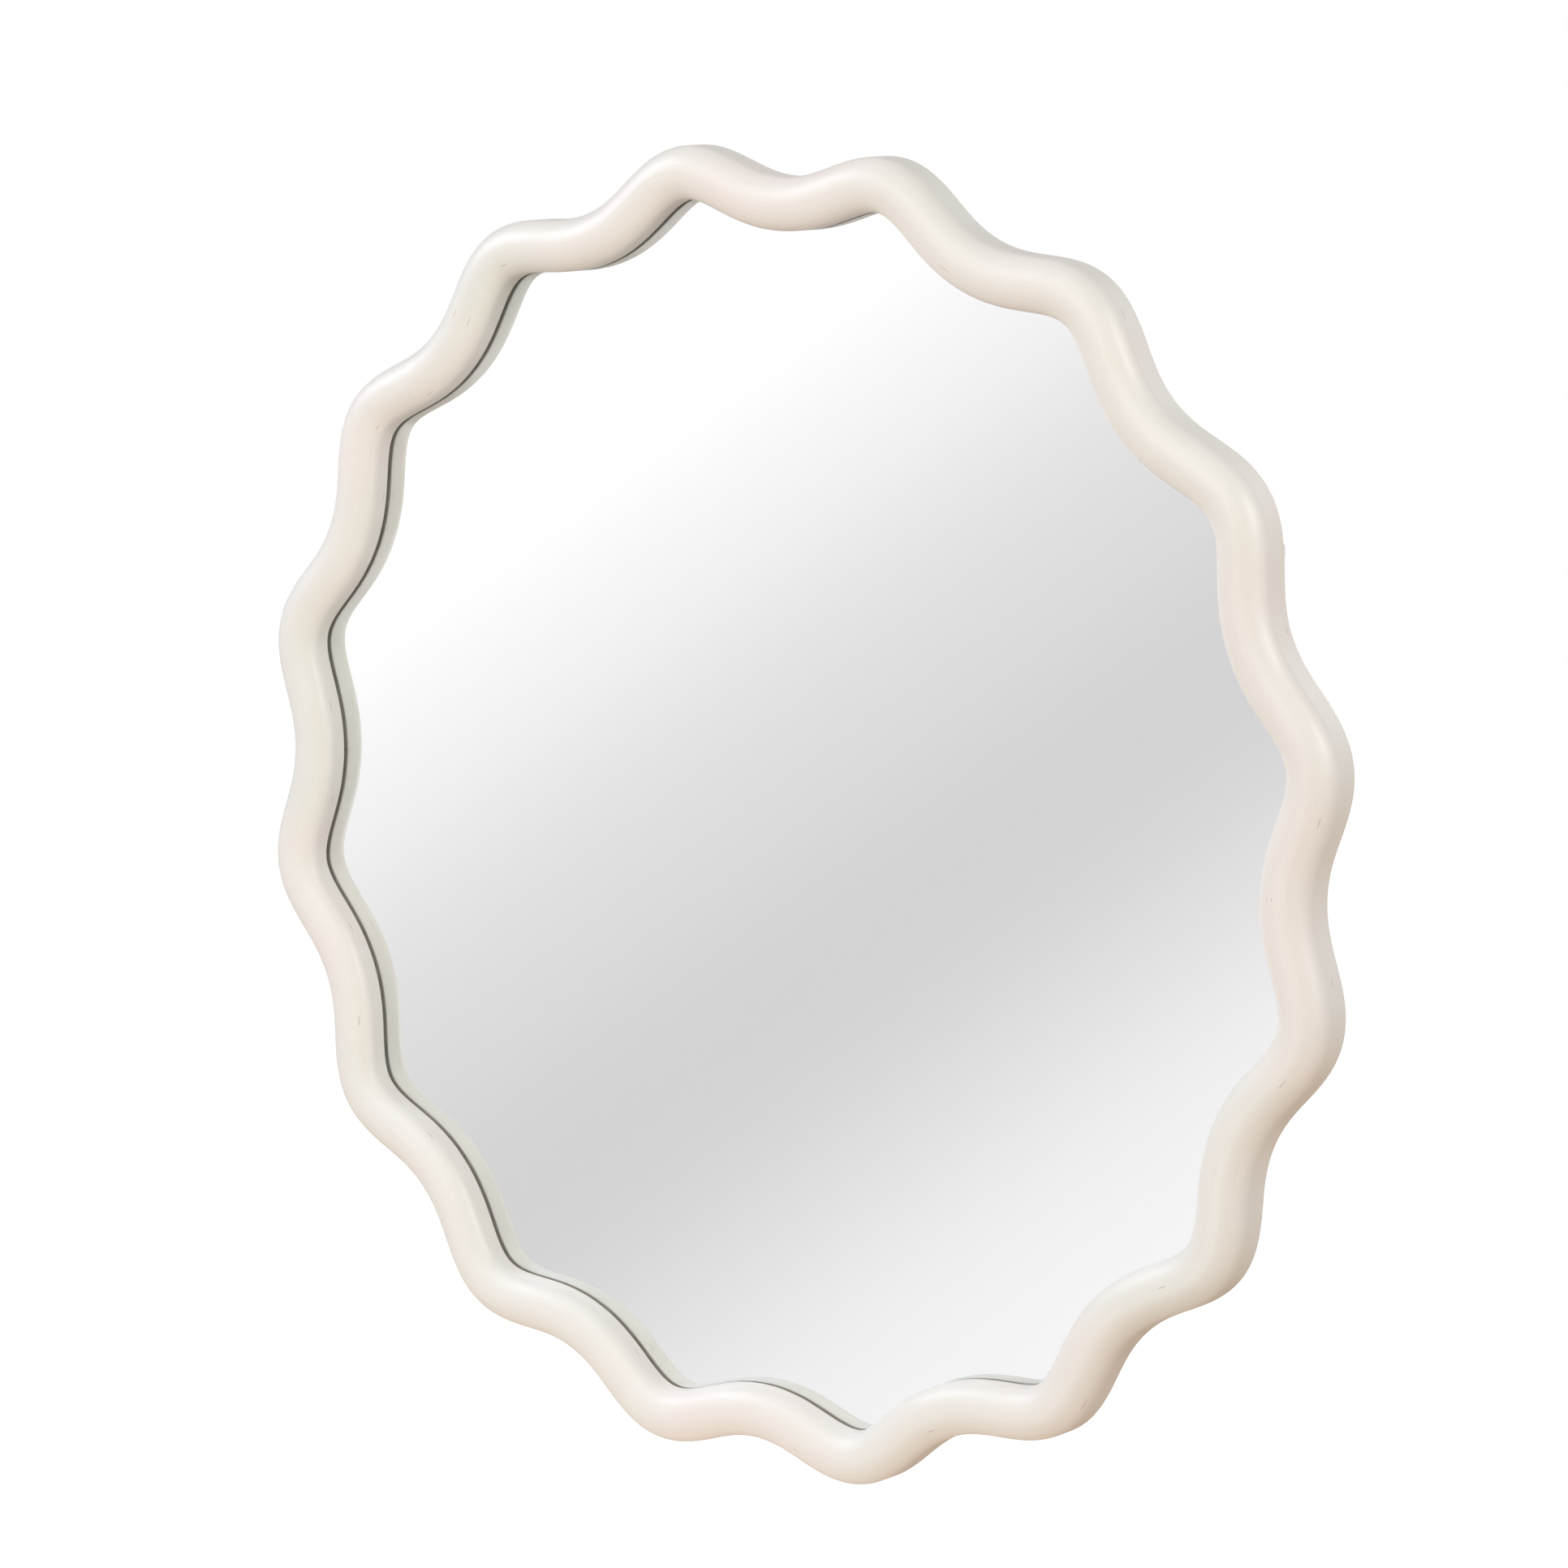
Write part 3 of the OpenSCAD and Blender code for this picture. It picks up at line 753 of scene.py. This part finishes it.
def makeRing(side):
    # A round wire carried along a D: bar, bend, leg, half circle, leg, bend, leaning on the frame's back
    h = hanger
    legX = h["strapWidth"] / 2 + h["loopSide"] + h["wireRadius"]
    bend = h["loopSide"] + h["wireRadius"] - h["barPlay"]
    top = h["loopHeight"] + h["wireRadius"]
    lean = math.asin((barrelRadius - h["wireRadius"] - h["restGap"]) / top)
    path = np.concatenate([
        [[0, 0], [h["barRun"], 0]],
        arc((legX - bend, bend), (bend, bend), -90, 0, 10),
        arc((0, top - legX), (legX, legX), 0, 180, 40),
        arc((bend - legX, bend), (bend, bend), 180, 270, 10),
        [[-h["barRun"], 0]],
    ])
    run = np.roll(path, -1, 0) - np.roll(path, 1, 0)
    run /= np.linalg.norm(run, axis=-1)[:, None]
    out = np.stack([run[:, 1], -run[:, 0]], -1)
    t = np.arange(h["wireColumns"]) * 2 * math.pi / h["wireColumns"]
    plane = path[:, None] + h["wireRadius"] * np.cos(t)[None, :, None] * out[:, None]
    across, up = plane[..., 0], plane[..., 1]
    off = np.broadcast_to(h["wireRadius"] * np.sin(t), up.shape)
    local = np.stack([across, up * math.cos(lean) - off * math.sin(lean),
                      backH - barrelRadius + up * math.sin(lean) + off * math.cos(lean)], -1)
    piece = gridPiece("hangerRing%s" % side.title(), atHinge(local, side), zincSteel, closeRows=True)
    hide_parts("hanger_ring_" + side)
    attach(piece, "ring_" + side)


def makeHangerScrews():
    grids = [atHinge(screwGrid(backH - 2 * hanger["leaf"], turn) + [0, y, 0], side)
             for side, turns in hanger["screwTurns"].items()
             for y, turn in zip((upperScrewY, lowerScrewY), turns)]
    piece = gridPiece("hangerScrews", np.stack(grids), yellowZinc, sharpDeg=screw["sharpDeg"])
    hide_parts("hanger_screws")
    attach(piece, "mirror")


for side in ("left", "right"):
    makeStrap(side)
    makeRing(side)
makeHangerScrews()
print("stage: hangers made")


# Wall pads

pad = {
    "radius": 8 * mm,
    "edgeRound": 1.4 * mm,
    "edgeHold": 0.5 * mm,      # from the frame to a row of points that keeps the side straight
    "columns": 64,
}


def makePad(name):
    # A moulded button: flat face on the wall, rounded edge, straight side up to the frame
    low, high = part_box("wall_pad_" + name)
    centre = np.array([(low.x + high.x) / 2, (low.z + high.z) / 2])
    e, r = pad["edgeRound"], pad["radius"]
    profile = np.concatenate([
        [[0, 0], [r - 2 * e, 0]],
        arc((r - e, e), (e, e), 270, 360, 6),
        [[r, backH - pad["edgeHold"]], [r, backH], [r - e, backH], [0, backH]],
    ])
    angle = np.arange(pad["columns"]) * 2 * math.pi / pad["columns"]
    ring = np.stack([np.cos(angle), np.sin(angle)], -1)
    plan = centre + profile[:, None, :1] * ring[None]
    words = [word.title() for word in name.split("_")]
    piece = gridPiece("wallPad" + "".join(words), onWall(plan, profile[:, None, 1]), padRubber)
    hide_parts("wall_pad_" + name)
    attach(piece, "mirror")


for name in ("top_left", "top_right", "bottom_left", "bottom_right"):
    makePad(name)
print("stage: wall pads made")


# The camera, placed round its target

camera = {
    "target": (0.00405, -0.0183, 0.02363),
    "azimuthDeg": 37.756,
    "elevationDeg": 9.704,
    "rollDeg": 1.096,
    "distance": 3.7513,
    "lens": 127.4,
}


def cameraAxes():
    # Unit vectors to the right, up and back of the camera, turned by its roll about the line of sight
    azimuth = math.radians(camera["azimuthDeg"])
    elevation = math.radians(camera["elevationDeg"])
    roll = math.radians(camera["rollDeg"])
    back = np.array([math.sin(azimuth) * math.cos(elevation), -math.cos(azimuth) * math.cos(elevation),
                     math.sin(elevation)])
    right = np.array([math.cos(azimuth), math.sin(azimuth), 0])
    up = np.cross(back, right)
    return math.cos(roll) * right + math.sin(roll) * up, math.cos(roll) * up - math.sin(roll) * right, back


def makeCamera():
    right, up, back = cameraAxes()
    data = bpy.data.cameras.new("camera")
    data.lens = camera["lens"]
    data.clip_start, data.clip_end = 0.05, 200
    holder = bpy.data.objects.new("camera", data)
    holder.location = np.array(camera["target"]) + camera["distance"] * back
    holder.rotation_mode = "QUATERNION"
    holder.rotation_quaternion = Matrix(np.stack([right, up, back], 1)).to_quaternion()
    bpy.context.scene.collection.objects.link(holder)
    bpy.context.scene.camera = holder


makeCamera()
print("stage: camera made")


# The studio: a plain floor well below the mirror, seven soft lamps, and a world that is brighter in front

studio = {
    "floorZ": -1.45,           # the mirror's centre hangs at eye level
    "floorSize": 16,
    "floorColour": "#F4F4F3",
    "floorBounce": "#EDCDB0",  # what the undersides get from it
    "floorGlow": 0.9,          # for the camera, so that the floor is white
    "aroundLight": 0.187,      # of the world on all sides
    "lamps": {                 # azimuth, elevation, distance, size, watts, colour
        "frontLowLamp": (-4, -30, 2.0, 1.4, 12.0, "#ECF5FF"),
        "frontLamp": (0, 30, 2.0, 1.4, 9.6, "#FFF9EB"),
        "rightLamp": (75, 30, 3.5, 1.8, 61.8, "#FAFBFF"),
        "leftLamp": (-62, 28, 3.5, 1.8, 65.5, "#E6ECFF"),
        "floorLamp": (-63, -70, 1.28, 0.8, 1.1, "#E6FFFF"),
        "topLamp": (-119, 57, 1.9, 1.2, 2.4, "#FFE5E5"),
        "backLamp": (180, 10, 3.5, 1.6, 78, "#FFFFFF"),
    },
    "unseenInMirror": ("frontLowLamp", "frontLamp", "floorLamp"),   # their discs would show in the glass
    "sheen": (0.75, 0.4, 0.6),  # the room in lacquer and metal: in front, behind, and what is left below
    "sheenTurn": 0.2,           # front turns to behind while the direction's y goes from minus this to this
    "sheenLow": -0.5,           # the direction's z at which the fall to what is left below ends
    "roomStops": [(0.25, 0.3), (0.34, 1.0), (0.55, 1.0), (0.7, 2.1)],   # in the glass, from below to above
    # What the mirror shows: a pale room with one soft grey band, by the angle across the band in degrees
    "bandTilt": (0.595, -0.804),
    "bandStops": [(-6, 1.49), (-2, 0.95), (0.5, 0.795), (1.9, 0.728), (3.3, 0.814), (5, 1.037), (7, 1.096),
                  (10, 0.98)],
    "bandReach": 10,
    "bandTop": 1.5,            # above all of its values, because a ramp stops at 1
    "roomColour": "#FFFBFE",   # its warm light looks neutral through the green of the glass
}


def makeFloor():
    made = newMaterial("studioFloor")
    light = addNode(made, "LightPath")
    fromCamera = light.outputs["Is Camera Ray"]
    strength = addNode(made, "Math", {"operation": "MULTIPLY", 1: studio["floorGlow"]}, _0=fromCamera)
    colour = addNode(made, "Mix", {"data_type": "RGBA", 6: studio["floorBounce"], 7: studio["floorColour"]},
                     _0=fromCamera)
    diffuse = addNode(made, "BsdfDiffuse", Color=colour.outputs[2])
    glow = addNode(made, "Emission", {"Color": "#FFFFFF"}, Strength=strength.outputs[0])
    finishMaterial(made, addNode(made, "AddShader", _0=diffuse.outputs[0], _1=glow.outputs[0]))
    made.cycles.emission_sampling = "NONE"
    half = studio["floorSize"] / 2
    grid = np.array([[[x, y, studio["floorZ"]] for x in (-half, half)] for y in (-half, half)])
    floor = gridPiece("studioFloor", grid, made, closeCols=False)
    # Glass and sheen show the room instead, because the floor's far edge would draw a line across the mirror
    floor.visible_transmission = False
    floor.visible_glossy = False


def addAreaLamp(name, azimuthDeg, elevationDeg, distance, size, power, colour):
    # A round lamp that looks at the middle of the mirror
    azimuth, elevation = math.radians(azimuthDeg), math.radians(elevationDeg)
    lamp = bpy.data.lights.new(name, "AREA")
    lamp.shape = "DISK"
    lamp.size = size
    lamp.energy = power
    lamp.color = linear(colour)[:3]
    holder = bpy.data.objects.new(name, lamp)
    holder.location = distance * np.array([math.sin(azimuth) * math.cos(elevation),
                                           -math.cos(azimuth) * math.cos(elevation), math.sin(elevation)])
    holder.rotation_mode = "QUATERNION"
    holder.rotation_quaternion = holder.location.to_track_quat("Z", "Y")
    holder.visible_camera = False
    bpy.context.scene.collection.objects.link(holder)


def leaveGlassUnlit():
    # The mirror shows the room, not the lamps in front, so its glass is left out of their light
    leftOut = bpy.data.collections.new("unlitGlass")
    leftOut.objects.link(frame["nodes"]["mirror_glass"])
    leftOut.collection_objects[0].light_linking.link_state = "EXCLUDE"
    for name in studio["unseenInMirror"]:
        lamp = bpy.data.objects[name]
        lamp.visible_transmission = False
        lamp.light_linking.receiver_collection = leftOut


def makeWorld():
    world = bpy.data.worlds.new("studioWorld")
    world.use_nodes = True
    world.node_tree.nodes.clear()
    place = addNode(world, "TexCoord")
    parts = addNode(world, "SeparateXYZ", _0=place.outputs["Generated"])
    # In the glass: the angle across the band is atan2(d . across, d . sight), both mirrored in the glass
    right, up, back = cameraAxes()
    across = studio["bandTilt"][0] * right + studio["bandTilt"][1] * up
    dots = [addNode(world, "VectorMath", {"operation": "DOT_PRODUCT", 1: tuple(axis * [1, -1, 1])},
                    _0=place.outputs["Generated"]) for axis in (across, -back)]
    angle = addNode(world, "Math", {"operation": "ARCTAN2"}, _0=dots[0].outputs["Value"],
                    _1=dots[1].outputs["Value"])
    reach = studio["bandReach"]
    share = addNode(world, "MapRange", {"From Min": -math.radians(reach), "From Max": math.radians(reach)},
                    Value=angle.outputs[0])
    top = studio["bandTop"]
    stops = [((degrees / reach + 1) / 2, value / top) for degrees, value in studio["bandStops"]]
    band = addNode(world, "ValToRGB", {"stops": stops, "blend": "B_SPLINE"}, _0=share.outputs[0])
    height = addNode(world, "MapRange", {"From Min": -1.0}, Value=parts.outputs[2])
    levels = [(level, top * value) for level, value in studio["roomStops"]]
    rise = addNode(world, "ValToRGB", {"stops": levels}, _0=height.outputs[0])
    inGlass = addNode(world, "Math", {"operation": "MULTIPLY"}, _0=band.outputs[0], _1=rise.outputs[0])
    # In the lacquer and the metal: pale in front, darker behind and below
    front, behind, below = studio["sheen"]
    turn = studio["sheenTurn"]
    depth = addNode(world, "MapRange",
                    {"From Min": -turn, "From Max": turn, "To Min": front, "To Max": behind},
                    Value=parts.outputs[1])
    lower = addNode(world, "MapRange", {"From Min": studio["sheenLow"], "From Max": 0.0, "To Min": below},
                    Value=parts.outputs[2])
    inGloss = addNode(world, "Math", {"operation": "MULTIPLY"}, _0=depth.outputs[0], _1=lower.outputs[0])
    # Each kind of ray meets its own strength: the object, sheen, the glass, and white for the camera
    light = addNode(world, "LightPath")
    toGloss = addNode(world, "Mix", {"data_type": "FLOAT", 2: studio["aroundLight"]},
                      _0=light.outputs["Is Glossy Ray"], _3=inGloss.outputs[0])
    toGlass = addNode(world, "Mix", {"data_type": "FLOAT"}, _0=light.outputs["Is Transmission Ray"],
                      _2=toGloss.outputs[0], _3=inGlass.outputs[0])
    strength = addNode(world, "Mix", {"data_type": "FLOAT", 3: 1.0}, _0=light.outputs["Is Camera Ray"],
                       _2=toGlass.outputs[0])
    colour = addNode(world, "Mix", {"data_type": "RGBA", 6: "#FFFFFF", 7: studio["roomColour"]},
                     _0=light.outputs["Is Transmission Ray"])
    shine = addNode(world, "Background", Color=colour.outputs[2], Strength=strength.outputs[0])
    addNode(world, "OutputWorld", Surface=shine.outputs[0])
    bpy.context.scene.world = world


makeFloor()
makeWorld()
for name, settings in studio["lamps"].items():
    addAreaLamp(name, *settings)
leaveGlassUnlit()
bpy.context.scene.view_settings.view_transform = "Standard"
print("stage: studio made")
